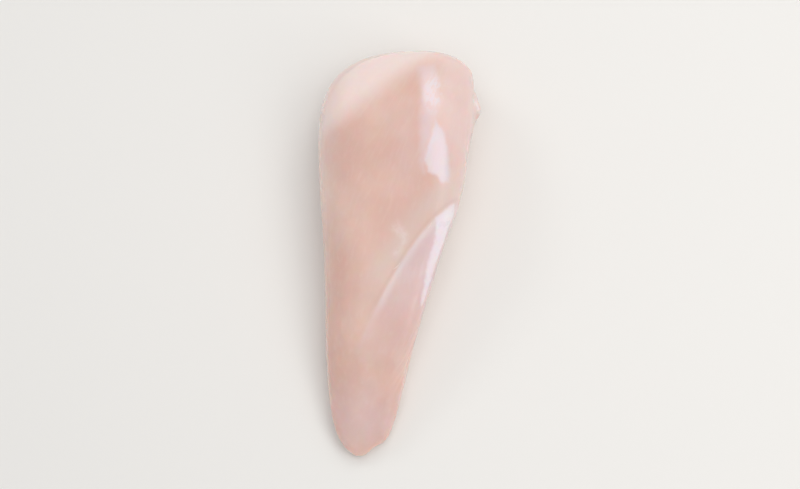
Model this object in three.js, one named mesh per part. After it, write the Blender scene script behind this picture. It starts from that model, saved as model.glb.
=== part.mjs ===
// A raw chicken breast: one boneless, skinless half breast with its rib meat, lying on its bone side.
// Millimetres, +Z up. +Y runs from the thin tail to the thick head, and +X points to the flank.
// The origin is under the middle of the breast, on the surface that it lies on.
import * as THREE from "three";
import { mergeVertices } from "three/addons/utils/BufferGeometryUtils.js";

const LENGTH = 165;
const FLESH = { color: 0xdcb4a8, roughness: 0.35, metalness: 0 };

// Evenly spaced stations from the tail to the head. Half widths and depths are those that a section
// would have if the two ends weren't rounded off.
const CENTRE_X = [-10.8, -10, -8.2, -5.6, -2.9, 0, 1.5, 4.2, 9.7];
const HALF_WIDTH = [25, 20.8, 20, 21, 23.7, 29, 35.3, 46.9, 66];
const EDGE_HEIGHT = [3.5, 5.5, 8, 10.5, 12.5, 14, 15.5, 16.5, 17];
const CROWN_RISE = [7.6, 10, 13.5, 16.3, 18.9, 21.8, 26, 30, 37];
const UNDERSIDE_DROP = [14, 17, 20, 23, 25, 27, 30, 34, 40];
const CROWN_LEAN = [0, 1, 2, 3, 4, 4.5, 3.5, 1.5, 0];

// How square each shoulder of a section is: 2 is an ellipse, and more is a fuller shoulder.
const KEEL_SQUARENESS = [2.2, 2.3, 2.5, 2.6, 2.7, 2.7, 2.6, 2.5, 2.4];
const FLANK_SQUARENESS = [2.2, 2.5, 2.9, 3.2, 3.4, 3.2, 2.6, 2.4, 2.3];
// Raw meat slumps: the underside turns flat on the surface over this height.
const SLUMP = 3;

// Soft swells and hollows of the top: place, reach along and across, turn from +Y, and height.
const SWELLS = {
  shoulder: { x: 17, y: 55, along: 20, across: 13, turn: 20, height: 1.6 },
  keelRoll: { x: -21, y: 34, along: 42, across: 8, turn: 4, height: 1.3 },
  upperHollow: { x: -7, y: 46, along: 26, across: 8, turn: 52, height: -1.3 },
  flankRidge: { x: 18, y: 34, along: 20, across: 7, turn: -12, height: 1 },
  lowerRidge: { x: 15, y: -8, along: 26, across: 5, turn: 15, height: 1.2 },
  bellyHollow: { x: -2, y: 0, along: 22, across: 9, turn: -20, height: -0.9 },
  tailSwell: { x: -9, y: -50, along: 20, across: 7, turn: -8, height: 0.9 },
};

// A thin membrane covers the lower flank. Its upper edge is this line, from the flank towards the tail,
// and the flesh steps down below the line and rises again further off.
const MEMBRANE_EDGE = { start: [30, 17], bend: [10, 6], end: [-9, -34], parts: 24 };
const MEMBRANE_STEP = { depth: 1.2, width: 2.5, recovery: 13, fadeFrom: 0.55 };

// Where the flank side of the head is torn: two small tags of meat stand out, and a nick is above them.
const TORN_EDGE = {
  lowerTag: { y: 56.8, z: 16, along: 2, up: 4, out: 2.5 },
  upperTag: { y: 61.4, z: 19, along: 1.5, up: 4, out: 0.8 },
  nick: { y: 66.3, z: 19, along: 2.2, up: 8, out: -1.4 },
};

// The seam where the rib meat folds under the flank, and the waves that its height takes along y.
const RIB_SEAM = { height: 8.5, reach: 1.9, depth: 2.1, from: -64, to: 56, fade: 30 };
const SEAM_WAVES = [
  { length: 58, start: 6, height: 1.5 },
  { length: 27, start: -2, height: 0.7 },
];

// The lower edges of the flank and the keel, below the widest line, are tucked in and wave along y.
const EDGE_TUCK = 0.8;
const EDGE_WAVES = [
  { length: 53, start: 9, height: 0.8 },
  { length: 31, start: 2, height: 0.5 },
  { length: 17, start: -5, height: 0.2 },
];
const KEEL_WAVE_LAG = 21;

// A small notch beside the tip of the tail.
const TAIL_NOTCH = { x: -6, across: 2.4, depth: 2.4, from: -66, to: -80 };

// A shallow fold round the back of the head, where the shoulder muscle was cut off.
const HEAD_FOLD = { middle: 24, slope: 0.18, across: 2.2, depth: 1.3, from: 0.62, to: 0.86 };

// The shallow bed that the tender leaves along the bone side.
const TENDER_BED = { x: -3, y: -4, lean: 0.09, halfWidth: 13, halfLength: 58, depth: 2.2 };

// Over which part of a section each thing blends in: rise is a share of the section's height, from -1 at
// the bottom to 1 at the top, side is a share of its half width, and round is 1 in the middle of the
// breast's length and 0 at its ends.
const BLENDS = {
  keelToFlank: { low: -0.5, high: 0.5 },
  undersideToCrown: { low: -0.7, high: 0.7 },
  topRise: { low: 0, high: 0.55 },
  topRound: { low: 0, high: 0.45 },
  flankSide: { low: 0.2, high: 0.8 },
  undersideRise: { low: -0.3, high: -0.8 },
  endRound: { low: 0.1, high: 0.6 },
};

// How many cells the surface has each way.
const CELLS = { across: 24, along: 54, up: 20 };

const mix = (a, b, share) => a + (b - a) * share;
const degrees = (angle) => (angle * Math.PI) / 180;
const bell = (distance) => Math.exp(-0.5 * distance * distance);
const fullTurn = (share) => share * share * (3 - 2 * share);
const smoothStep = (low, high, value) => fullTurn(THREE.MathUtils.clamp((value - low) / (high - low), 0, 1));

const blend = ({ low, high }, value) => smoothStep(low, high, value);

// A smooth curve through evenly spaced values, with share 0 at the first and 1 at the last.
function through(values, share) {
  const place = THREE.MathUtils.clamp(share, 0, 1) * (values.length - 1);
  const i = Math.min(Math.floor(place), values.length - 2);
  const f = place - i;
  const [a, b] = [values[i], values[i + 1]];
  const before = i > 0 ? values[i - 1] : 2 * a - b;
  const after = i < values.length - 2 ? values[i + 2] : 2 * b - a;
  const slopeA = (b - before) / 2;
  const slopeB = (after - a) / 2;
  return mix(a, b, fullTurn(f)) + f * (1 - f) * (slopeA * (1 - f) - slopeB * f);
}

// The larger of value and floor, turning smoothly from one to the other over the height reach.
function restOn(floor, value, reach) {
  const overlap = Math.max(reach - Math.abs(value - floor), 0);
  return Math.max(value, floor) + (overlap * overlap) / (4 * reach);
}

// A point of a cube's surface moved to the unit sphere, with the cells kept near one size.
function ontoSphere(p) {
  const [xx, yy, zz] = [p.x * p.x, p.y * p.y, p.z * p.z];
  return new THREE.Vector3(
    p.x * Math.sqrt(1 - yy / 2 - zz / 2 + (yy * zz) / 3),
    p.y * Math.sqrt(1 - zz / 2 - xx / 2 + (zz * xx) / 3),
    p.z * Math.sqrt(1 - xx / 2 - yy / 2 + (xx * yy) / 3),
  );
}

// The sum of the top's swells and hollows at a place seen from above.
function swellAt(x, y) {
  return Object.values(SWELLS).reduce((sum, swell) => {
    const turn = degrees(swell.turn);
    const [dx, dy] = [x - swell.x, y - swell.y];
    const along = dy * Math.cos(turn) + dx * Math.sin(turn);
    const across = dx * Math.cos(turn) - dy * Math.sin(turn);
    return sum + swell.height * bell(along / swell.along) * bell(across / swell.across);
  }, 0);
}

const membraneEdge = new THREE.QuadraticBezierCurve(
  new THREE.Vector2(...MEMBRANE_EDGE.start),
  new THREE.Vector2(...MEMBRANE_EDGE.bend),
  new THREE.Vector2(...MEMBRANE_EDGE.end),
).getPoints(MEMBRANE_EDGE.parts);

// Where a place seen from above lies by the membrane's edge: how far below it, negative above it,
// and which share of the edge's length it is beside, with the edge carried straight on past its ends.
function besideMembraneEdge(x, y) {
  const parts = membraneEdge.length - 1;
  let nearest = { distance: Infinity, below: 0, along: 0 };
  for (let i = 0; i < parts; i++) {
    const start = membraneEdge[i];
    const run = membraneEdge[i + 1].clone().sub(start);
    const offset = new THREE.Vector2(x, y).sub(start);
    const lowest = i === 0 ? -Infinity : 0;
    const highest = i === parts - 1 ? Infinity : 1;
    const share = THREE.MathUtils.clamp(offset.dot(run) / run.lengthSq(), lowest, highest);
    const distance = offset.distanceTo(run.clone().multiplyScalar(share));
    if (distance < nearest.distance) {
      const side = Math.sign(run.x * offset.y - run.y * offset.x);
      nearest = { distance, below: distance * side, along: (i + share) / parts };
    }
  }
  return nearest;
}

// How deep the flesh has stepped down under the membrane at a place seen from above.
function membraneStepAt(x, y) {
  const { below, along } = besideMembraneEdge(x, y);
  const { depth, width, recovery, fadeFrom } = MEMBRANE_STEP;
  const stepped = smoothStep(-width, width, below) * bell(Math.max(below, 0) / recovery);
  return depth * stepped * smoothStep(1, fadeFrom, along);
}

// How far the torn edge stands out at a place on the flank, negative in the nick.
function tornEdgeAt(y, z) {
  return Object.values(TORN_EDGE).reduce(
    (sum, torn) => sum + torn.out * bell((y - torn.y) / torn.along) * bell((z - torn.z) / torn.up),
    0,
  );
}

// The sum of waves at a place along y.
function wavesAt(waves, y) {
  return waves.reduce((sum, wave) => {
    return sum + wave.height * Math.sin((2 * Math.PI * (y - wave.start)) / wave.length);
  }, 0);
}

// How deep the rib seam is at a place on the flank.
function ribSeamAt(y, z) {
  const { height, reach, depth, from, to, fade } = RIB_SEAM;
  const between = smoothStep(0, fade, y - from) * smoothStep(0, fade, to - y);
  return depth * between * bell((z - height - wavesAt(SEAM_WAVES, y)) / reach);
}

// How far out the lower edge reaches at a place, on the flank where side is above 0 and else on the keel.
function edgeWaveAt(side, y, z, widestHeight) {
  const below = smoothStep(0.9 * widestHeight, 0.2 * widestHeight, z);
  const out = wavesAt(EDGE_WAVES, side > 0 ? y : y + KEEL_WAVE_LAG) - EDGE_TUCK;
  return Math.sign(side) * below * smoothStep(0.2, 0.7, Math.abs(side)) * out;
}

// How far back the tail's outline is notched at a place.
function tailNotchAt(x, y) {
  const { x: middle, across, depth, from, to } = TAIL_NOTCH;
  return depth * bell((x - middle) / across) * smoothStep(from, to, y);
}

// How deep the fold round the back of the head is at a place, by how far along the breast it is.
function headFoldAt(x, z, end) {
  const { middle, slope, across, depth, from, to } = HEAD_FOLD;
  return depth * smoothStep(from, to, end) * bell((z - middle + slope * x) / across);
}

// How high the tender's bed rises off the surface that the breast lies on.
function tenderBedAt(x, y) {
  const across = (x - TENDER_BED.x - TENDER_BED.lean * y) / TENDER_BED.halfWidth;
  const along = (y - TENDER_BED.y) / TENDER_BED.halfLength;
  return TENDER_BED.depth * smoothStep(1, 0, Math.hypot(across, along));
}

// How far out a section reaches at a place round it, as a share of what an ellipse does.
function fullness(side, rise, share) {
  const flankShare = blend(BLENDS.keelToFlank, side);
  const squareness = mix(through(KEEL_SQUARENESS, share), through(FLANK_SQUARENESS, share), flankShare);
  const sum = Math.abs(side) ** squareness + Math.abs(rise) ** squareness;
  return sum > 0 ? sum ** (-1 / squareness) : 1;
}

// Where a direction on the unit sphere meets the surface of the breast.
function surfacePoint(direction) {
  const share = (direction.y + 1) / 2;
  const round = Math.sqrt(Math.max(1 - direction.y * direction.y, 0));
  const side = round > 0 ? direction.x / round : 0;
  const rise = round > 0 ? direction.z / round : 0;
  const y = (LENGTH / 2) * direction.y;

  const full = fullness(side, rise, share) * round;
  const crownShare = blend(BLENDS.undersideToCrown, rise);
  const depth = mix(through(UNDERSIDE_DROP, share), through(CROWN_RISE, share), crownShare);
  const lean = through(CROWN_LEAN, share) * round * smoothStep(0, 1, rise);
  let x = through(CENTRE_X, share) + through(HALF_WIDTH, share) * full * side + lean;
  let z = through(EDGE_HEIGHT, share) + depth * full * rise;

  const onTop = blend(BLENDS.topRise, rise) * blend(BLENDS.topRound, round);
  z += onTop * (swellAt(x, y) - membraneStepAt(x, y));

  const onFlank = blend(BLENDS.flankSide, side);
  x += onFlank * (tornEdgeAt(y, z) - ribSeamAt(y, z));
  x += edgeWaveAt(side, y, z, through(EDGE_HEIGHT, share)) * blend(BLENDS.endRound, round);

  const bed = tenderBedAt(x, y) * blend(BLENDS.undersideRise, rise);
  const endY = y + tailNotchAt(x, y) - headFoldAt(x, z, direction.y);
  return new THREE.Vector3(x, endY, restOn(0, z, SLUMP) + bed);
}

// The breast's closed surface, with its origin under the middle of its box.
function breastGeometry() {
  const cube = new THREE.BoxGeometry(2, 2, 2, CELLS.across, CELLS.along, CELLS.up);
  cube.deleteAttribute("normal");
  cube.deleteAttribute("uv");
  const geometry = mergeVertices(cube);
  const positions = geometry.getAttribute("position");
  const corner = new THREE.Vector3();
  for (let i = 0; i < positions.count; i++) {
    const point = surfacePoint(ontoSphere(corner.fromBufferAttribute(positions, i)));
    positions.setXYZ(i, point.x, point.y, point.z);
  }
  geometry.computeBoundingBox();
  const middle = geometry.boundingBox.getCenter(new THREE.Vector3());
  geometry.translate(-middle.x, -middle.y, -geometry.boundingBox.min.z);
  geometry.computeVertexNormals();
  return geometry;
}

const breast = new THREE.Mesh(breastGeometry(), new THREE.MeshStandardMaterial(FLESH));
breast.name = "chicken_breast";

const group = new THREE.Group();
group.add(breast);

export default group;
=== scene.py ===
"""A raw chicken breast on a pale floor, in soft studio light, seen from above as in the photograph."""

import logging
import math
from dataclasses import dataclass, field
from enum import Enum
from typing import Any, Optional, Sequence, Union

import bmesh
import bpy
import numpy as np
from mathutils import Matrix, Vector

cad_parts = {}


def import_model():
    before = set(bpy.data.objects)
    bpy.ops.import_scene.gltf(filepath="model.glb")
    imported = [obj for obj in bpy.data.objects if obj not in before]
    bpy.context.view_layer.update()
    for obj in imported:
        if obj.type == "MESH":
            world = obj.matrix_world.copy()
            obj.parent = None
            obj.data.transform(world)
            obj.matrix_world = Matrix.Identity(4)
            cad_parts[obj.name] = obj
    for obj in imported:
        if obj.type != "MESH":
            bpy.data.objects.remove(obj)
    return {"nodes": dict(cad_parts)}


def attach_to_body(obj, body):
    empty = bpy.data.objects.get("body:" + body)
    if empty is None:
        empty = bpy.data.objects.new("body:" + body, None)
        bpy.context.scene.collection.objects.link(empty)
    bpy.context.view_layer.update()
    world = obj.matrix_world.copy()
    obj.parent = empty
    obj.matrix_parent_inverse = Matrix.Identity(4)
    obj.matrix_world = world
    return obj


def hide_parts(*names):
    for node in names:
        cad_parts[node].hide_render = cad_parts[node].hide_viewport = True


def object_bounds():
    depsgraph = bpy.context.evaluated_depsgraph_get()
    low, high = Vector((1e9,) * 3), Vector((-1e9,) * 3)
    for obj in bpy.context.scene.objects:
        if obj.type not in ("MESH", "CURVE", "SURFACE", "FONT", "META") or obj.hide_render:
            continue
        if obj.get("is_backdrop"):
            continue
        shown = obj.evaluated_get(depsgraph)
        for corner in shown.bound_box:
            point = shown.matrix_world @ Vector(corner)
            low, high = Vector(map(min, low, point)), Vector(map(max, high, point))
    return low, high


LOG = logging.getLogger("chicken_breast")

MM = 0.001
NODE = "chicken_breast"
BODY = "root"
PICTURE_WIDTH = 800
PICTURE_HEIGHT = 489

Numbers = Union[float, np.ndarray]
Fields = dict[str, np.ndarray]
Colour = tuple[float, float, float]
Place = tuple[float, float]
Spot = tuple[float, float, float]


def linear(colour: Colour) -> tuple[float, float, float, float]:
    """Turns a colour in steps of 0 to 255, as a screen shows it, into the linear one that a shader takes.

    Args:
        colour: Red, green and blue from 0 to 255.

    Returns:
        Linear red, green and blue from 0 to 1, and an alpha of 1.
    """
    shares = [step / 255 for step in colour]
    red, green, blue = (
        ((share + 0.055) / 1.055) ** 2.4 if share > 0.04045 else share / 12.92 for share in shares
    )
    return red, green, blue, 1.0


def smooth_step(low: Numbers, high: Numbers, value: np.ndarray) -> np.ndarray:
    """Runs from 0 at low to 1 at high, with soft ends.

    Args:
        low: The value that gives 0. It may be the larger one.
        high: The value that gives 1.
        value: The numbers to turn.

    Returns:
        A share from 0 to 1 for each number.
    """
    share = np.clip((value - low) / (high - low), 0.0, 1.0)
    return share * share * (3.0 - 2.0 * share)


class Socket:
    """A node's output, on which Python's operators add Math nodes."""

    def __init__(self, tree: "NodeTree", output: bpy.types.NodeSocket) -> None:
        """Keeps the output and the tree that it belongs to."""
        self.tree = tree
        self.output = output

    def _math(self, operation: str, *values: "Value") -> "Socket":
        """Adds a Math node on the values and returns its output."""
        return self.tree.node("ShaderNodeMath", {"operation": operation}, dict(enumerate(values)))

    def __add__(self, other: "Value") -> "Socket":
        """Adds a number or an output."""
        return self._math("ADD", self, other)

    __radd__ = __add__

    def __sub__(self, other: "Value") -> "Socket":
        """Takes a number or an output away."""
        return self._math("SUBTRACT", self, other)

    def __rsub__(self, other: "Value") -> "Socket":
        """Takes this output away from a number."""
        return self._math("SUBTRACT", other, self)

    def __mul__(self, other: "Value") -> "Socket":
        """Multiplies by a number or an output."""
        return self._math("MULTIPLY", self, other)

    __rmul__ = __mul__

    def __truediv__(self, other: "Value") -> "Socket":
        """Divides by a number or an output."""
        return self._math("DIVIDE", self, other)

    def bell(self) -> "Socket":
        """Gives a soft bump of height 1 where this output is 0, with a standard width of 1."""
        return self._math("EXPONENT", self * self * -0.5)

    def larger(self, other: "Value") -> "Socket":
        """Gives the larger of this and a number or an output."""
        return self._math("MAXIMUM", self, other)

    def smaller(self, other: "Value") -> "Socket":
        """Gives the smaller of this and a number or an output."""
        return self._math("MINIMUM", self, other)

    def step(self, low: float, high: float) -> "Socket":
        """Runs smoothly from 0 where this output is low to 1 where it is high."""
        ends = {"Value": self, "From Min": low, "From Max": high}
        return self.tree.node("ShaderNodeMapRange", {"interpolation_type": "SMOOTHSTEP"}, ends)


Value = Union[Socket, float]
Varying = Union[Socket, np.ndarray]


@dataclass(frozen=True)
class Ramp:
    """A soft run from 0 at its start to 1 at its end, which may be the smaller one."""

    start: float
    end: float

    def __call__(self, value: Varying) -> Varying:
        """Turns a value into a share.

        Args:
            value: A node's output, or a number for each point.

        Returns:
            The share from 0 to 1, in the same form.
        """
        if isinstance(value, Socket):
            return value.step(self.start, self.end)
        return smooth_step(self.start, self.end, value)


@dataclass(frozen=True)
class Bump:
    """A soft bump of height 1 at its place, with a standard width."""

    place: float
    width: float

    def __call__(self, value: Varying) -> Varying:
        """Turns a value into the bump's height there.

        Args:
            value: A node's output, or a number for each point.

        Returns:
            The height from 0 to 1, in the same form.
        """
        distance = (value - self.place) / self.width
        if isinstance(distance, Socket):
            return distance.bell()
        return np.exp(-0.5 * distance * distance)


class NodeTree:
    """Adds nodes to a node tree of Blender's."""

    MIX_FACTOR, MIX_FIRST, MIX_SECOND = 0, 6, 7
    MIX_COLOUR = 2

    def __init__(self, tree: bpy.types.NodeTree) -> None:
        """Keeps the tree."""
        self.tree = tree

    def node(
        self,
        kind: str,
        settings: Optional[dict[str, Any]] = None,
        inputs: Optional[dict[Union[str, int], Any]] = None,
        output: Union[str, int] = 0,
    ) -> Socket:
        """Adds one node.

        Args:
            kind: The node's type.
            settings: The node's own properties, which are set before its sockets.
            inputs: A value or an output for each socket, by name or number.
            output: Which of the node's outputs is wanted, by name or number.

        Returns:
            That output.
        """
        made = self.tree.nodes.new(kind)
        for name, value in (settings or {}).items():
            setattr(made, name, value)
        for name, value in (inputs or {}).items():
            if isinstance(value, Socket):
                self.tree.links.new(value.output, made.inputs[name])
            else:
                made.inputs[name].default_value = value
        return Socket(self, made.outputs[output])

    def noise(self, vector: Socket, size: float, detail: float = 2.0, seed: float = 0.0) -> Socket:
        """Adds soft noise around 0.5.

        Args:
            vector: Where the noise is read.
            size: How large its lumps are, in the vector's own unit.
            detail: How many finer layers it has.
            seed: Which noise of many it is.

        Returns:
            The noise, from 0 to 1.
        """
        sockets = {"Vector": vector, "W": seed, "Scale": 1.0 / size, "Detail": detail}
        return self.node("ShaderNodeTexNoise", {"noise_dimensions": "4D"}, sockets)

    def mix(self, factor: Value, first: Any, second: Any) -> Socket:
        """Mixes two colours.

        Args:
            factor: The second colour's share.
            first: A colour or an output.
            second: A colour or an output.

        Returns:
            The mixed colour.
        """
        sockets = {self.MIX_FACTOR: factor, self.MIX_FIRST: first, self.MIX_SECOND: second}
        return self.node("ShaderNodeMix", {"data_type": "RGBA"}, sockets, self.MIX_COLOUR)

    def scaled(self, vector: Socket, scale: Value) -> Socket:
        """Multiplies a vector by a number or an output."""
        return self.node("ShaderNodeVectorMath", {"operation": "SCALE"}, {0: vector, "Scale": scale})


class SurfaceMaterial(NodeTree):
    """A new material with one Principled shader, and the fields of a surface as outputs."""

    def __init__(self, name: str) -> None:
        """Makes the material with an empty tree.

        Args:
            name: The material's name.
        """
        self.material = bpy.data.materials.new(name)
        self.material.use_nodes = True
        super().__init__(self.material.node_tree)
        self.tree.nodes.clear()

    def place(self) -> Socket:
        """Gives the place on the object, in millimetres."""
        metres = self.node("ShaderNodeTexCoord", output="Object")
        return self.scaled(metres, 1.0 / MM)

    def number(self, name: str) -> Socket:
        """Gives a number that the mesh keeps at each of its points."""
        return self.node("ShaderNodeAttribute", {"attribute_name": name}, output="Fac")

    def vector(self, name: str) -> Socket:
        """Gives a vector that the mesh keeps at each of its points."""
        return self.node("ShaderNodeAttribute", {"attribute_name": name}, output="Vector")

    def finish(self, inputs: dict[str, Any]) -> bpy.types.Material:
        """Adds the Principled shader and the output.

        Args:
            inputs: The shader's sockets, by name.

        Returns:
            The finished material.
        """
        shader = self.node("ShaderNodeBsdfPrincipled", {"subsurface_method": "RANDOM_WALK"}, inputs)
        end = self.tree.nodes.new("ShaderNodeOutputMaterial")
        self.tree.links.new(shader.output, end.inputs["Surface"])
        return self.material


@dataclass(frozen=True)
class FleshFinish:
    """Wet, pale pink raw flesh, with a thin membrane over the lower flank, and painted highlights and a
    painted reflection on top. Colours are as on a screen.
    """

    rosy: Colour = (219, 182, 171)
    pale: Colour = (226, 195, 184)
    warm: Colour = (218, 186, 165)
    # Crown tints the pale streaks, and paints the reflection on the head.
    crown: Colour = (237, 221, 217)
    haze: Colour = (218, 204, 197)
    fibre: Colour = (238, 212, 200)
    # Cool also paints the highlight along the trail.
    cool: Colour = (224, 206, 210)
    membrane: Colour = (213, 190, 197)
    silver: Colour = (240, 228, 229)
    # Painted highlights on the wet patches, the mottled beads and the membrane's shine.
    wet_painted_highlight: Colour = (226, 225, 238)
    shine: Colour = (245, 238, 243)
    fat: Colour = (241, 226, 206)
    blood: Colour = (206, 142, 134)
    shadow: Colour = (190, 158, 146)
    # How large each mark is, in millimetres.
    patch_size: float = 26.0
    mottle_size: float = 6.0
    streak_size: float = 1.1
    fibre_size: float = 1.0
    silver_size: float = 3.0
    torn_size: float = 2.0
    fat_size: float = 2.0
    ripple_size: float = 2.2
    stripe_size: float = 1.5
    bead_size: float = 2.6
    juice_size: float = 11.0
    grit_size: float = 0.7
    # Between which values of its noise each mark starts and is full.
    patch_ramp: Ramp = Ramp(0.35, 0.65)
    mottle_ramp: Ramp = Ramp(0.4, 0.8)
    streak_ramp: Ramp = Ramp(0.45, 0.8)
    fibre_ramp: Ramp = Ramp(0.4, 0.66)
    silver_ramp: Ramp = Ramp(0.45, 0.8)
    fleck_ramp: Ramp = Ramp(0.2, 0.6)
    fat_ramp: Ramp = Ramp(0.5, 0.65)
    bead_ramp: Ramp = Ramp(0.46, 0.54)
    juice_ramp: Ramp = Ramp(0.49, 0.55)
    # How much each mark covers of what lies under it.
    warm_share: float = 0.4
    streak_share: float = 0.14
    coarse_streak_share: float = 0.12
    fibre_share: float = 0.5
    crown_share: float = 0.85
    trail_share: float = 0.63
    cool_share: float = 0.33
    blood_share: float = 0.45
    membrane_share: float = 0.7
    silver_share: float = 0.4
    lip_share: float = 0.5
    haze_share: float = 0.5
    shadow_share: float = 0.2
    fleck_share: float = 0.36
    torn_share: float = 0.7
    fat_share: float = 0.7
    shoulder_share: float = 0.5
    painted_highlight_share: float = 0.36
    shine_share: float = 0.55
    # Bands below the membrane's edge, rims of patches and how far noise frays them, in millimetres.
    lip_band: Bump = Bump(0.9, 0.9)
    haze_band: Bump = Bump(-4.4, 3.8)
    shadow_band: Bump = Bump(-0.8, 0.5)
    trail_rim: Ramp = Ramp(2.2, -2.2)
    trail_fray: float = 3.0
    torn_rim: Ramp = Ramp(1.7, 0.2)
    torn_fray: float = 4.0
    shoulder_rim: Ramp = Ramp(0.6, -1.3)
    sheen_rim: Ramp = Ramp(1.1, -0.7)
    pool_fray: float = 1.6
    # The roughness and the coat of plain flesh, and what each field adds to them and to the fine bumps.
    dry_roughness: float = 0.4
    mottle_roughness: float = 0.14
    membrane_roughness: float = -0.08
    water_roughness: float = -0.1
    moist_coat: float = 0.21
    crown_coat: float = -0.1
    coarse_coat: float = 0.5
    membrane_coat: float = 0.2
    trail_coat: float = 0.2
    water_coat: float = 0.9
    juice_coat: float = 1.5
    streak_bump: float = 0.7
    fibre_bump: float = 2.4
    grit_bump: float = 0.3
    # How far red, green and blue light go under the surface, as shares of a scale in metres.
    scatter_radius: tuple[float, float, float] = (1.0, 0.42, 0.26)
    scatter_scale: float = 0.0045
    # The height of the fine bumps in metres, and how much of it shows.
    bump_height: float = 0.00008
    bump_strength: float = 0.6

    def material(self) -> bpy.types.Material:
        """Builds the material.

        Returns:
            The material, which reads the fields that FleshSurface writes.
        """
        tree = SurfaceMaterial("wet_flesh")
        place = tree.place()
        grain = tree.vector("grain")
        below = tree.number("membrane_below")
        edge = tree.number("membrane_edge")
        membrane = tree.number("membrane")
        crown = tree.number("crown")
        coarse = tree.number("coarse")
        patches = tree.noise(place, self.patch_size, 3.0, 1.0)
        mottle = tree.noise(place, self.mottle_size, 4.0, 2.0)
        streaks = tree.noise(grain, self.streak_size, 3.0, 3.0)
        fibres = tree.noise(tree.vector("strata"), self.fibre_size, 2.0, 17.0)
        silver = self.silver_ramp(tree.noise(grain, self.silver_size, 2.0, 4.0))
        fleck = self.fleck_ramp(tree.noise(place, self.ripple_size, 2.0, 8.0))
        fat = self.fat_ramp(tree.noise(grain, self.fat_size, 3.0, 10.0))
        tears = (tree.noise(place, self.torn_size, 3.0, 9.0) - 0.5) * self.torn_fray
        torn = self.torn_rim(tree.number("torn_distance") + tears)
        trail = self.trail_rim(tree.number("trail") + (mottle - 0.5) * self.trail_fray)
        # Wet patches whose colour is a painted highlight: on the shoulder, the membrane's shine and the
        # mottled beads.
        ripple = (tree.noise(place, self.ripple_size, 2.0, 5.0) - 0.5) * self.pool_fray
        shoulder = self.shoulder_rim(tree.number("shoulder_pool") + ripple)
        sheen = self.sheen_rim(tree.number("membrane_pool") + ripple)
        stripes = tree.noise(grain, self.stripe_size, 2.0, 7.0) + tree.noise(place, self.bead_size, 3.0, 15.0)
        beads = tree.number("beads") * self.bead_ramp(stripes * 0.5)
        wet_painted_highlight = shoulder.larger(sheen).larger(beads)
        lip = (self.lip_band(below) * edge).larger(tree.number("membrane_corner"))

        # Each tint lies over those before it.
        tints = (
            (self.patch_ramp(patches), self.pale),
            (self.mottle_ramp(mottle) * self.warm_share, self.warm),
            (self.streak_ramp(streaks) * (coarse * self.coarse_streak_share + self.streak_share), self.crown),
            (self.fibre_ramp(fibres) * coarse * self.fibre_share, self.fibre),
            # Painted reflection on the head's crown, partly its own paler rim.
            (crown * self.crown_share, self.crown),
            # Painted highlight along the trail, in the cool tint that the cool field also gives.
            ((trail * self.trail_share).larger(tree.number("cool") * self.cool_share), self.cool),
            (tree.number("seam") * self.blood_share, self.blood),
            (membrane * self.membrane_share, self.membrane),
            (membrane * silver * self.silver_share, self.silver),
            (lip * self.lip_share, self.silver),
            (self.haze_band(below) * edge * self.haze_share, self.haze),
            (self.shadow_band(below) * edge * self.shadow_share, self.shadow),
            ((tree.number("fleck") * fleck * self.fleck_share).larger(torn * self.torn_share), self.silver),
            (tree.number("fat") * fat * self.fat_share, self.fat),
            # Painted highlights on the wet patches and the membrane's shine.
            ((shoulder * self.shoulder_share).larger(wet_painted_highlight * self.painted_highlight_share), self.wet_painted_highlight),
            (sheen * self.shine_share, self.shine),
        )
        colour = linear(self.rosy)
        for share, tint in tints:
            colour = tree.mix(share, colour, linear(tint))

        roughness = mottle * self.mottle_roughness + self.dry_roughness
        roughness = roughness + membrane * self.membrane_roughness + wet_painted_highlight * self.water_roughness
        moist = crown * (1 - coarse) * self.crown_coat + self.moist_coat + coarse * self.coarse_coat
        moist = moist + membrane * self.membrane_coat + trail * self.trail_coat
        juice = self.juice_ramp(tree.noise(place, self.juice_size, 4.0, 19.0)) * coarse * self.juice_coat
        wet = moist.larger(wet_painted_highlight * self.water_coat).larger(juice.smaller(1.0))
        grit = tree.noise(place, self.grit_size, 2.0, 6.0)
        height = streaks * self.streak_bump + fibres * coarse * self.fibre_bump + grit * self.grit_bump
        bumps = {"Height": height, "Distance": self.bump_height, "Strength": self.bump_strength}
        bump = tree.node("ShaderNodeBump", {}, bumps)
        return tree.finish(
            {
                "Base Color": colour,
                "Roughness": roughness,
                "Normal": bump,
                "IOR": 1.4,
                "Subsurface Weight": 1.0,
                "Subsurface Radius": self.scatter_radius,
                "Subsurface Scale": self.scatter_scale,
                "Coat Weight": wet,
                "Coat Roughness": 0.17,
                "Coat IOR": 1.6,
            }
        )


@dataclass(frozen=True)
class StrandFinish:
    """Moist whitish strands of connective tissue, or yellower fat."""

    name: str
    colour: Colour
    shade: Colour
    mottle_size: float = 1.6
    shade_ramp: Ramp = Ramp(0.35, 0.7)
    roughness: float = 0.3
    mottle_roughness: float = 0.2

    def material(self) -> bpy.types.Material:
        """Builds the material.

        Returns:
            The material, mottled on the object's own coordinates.
        """
        tree = SurfaceMaterial(self.name)
        mottle = tree.noise(tree.place(), self.mottle_size, 2.0, 1.0)
        return tree.finish(
            {
                "Base Color": tree.mix(self.shade_ramp(mottle), linear(self.colour), linear(self.shade)),
                "Roughness": mottle * self.mottle_roughness + self.roughness,
                "Subsurface Weight": 1.0,
                "Subsurface Radius": (1.0, 0.8, 0.7),
                "Subsurface Scale": 0.0002,
                "Coat Weight": 0.8,
                "Coat Roughness": 0.12,
            }
        )


class Tissue(Enum):
    """What strands on the flesh are made of, each with its finish."""

    FASCIA = StrandFinish("moist_fascia", (240, 226, 220), (232, 208, 202))
    FAT = StrandFinish("soft_fat", (243, 225, 207), (240, 213, 195))


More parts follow.
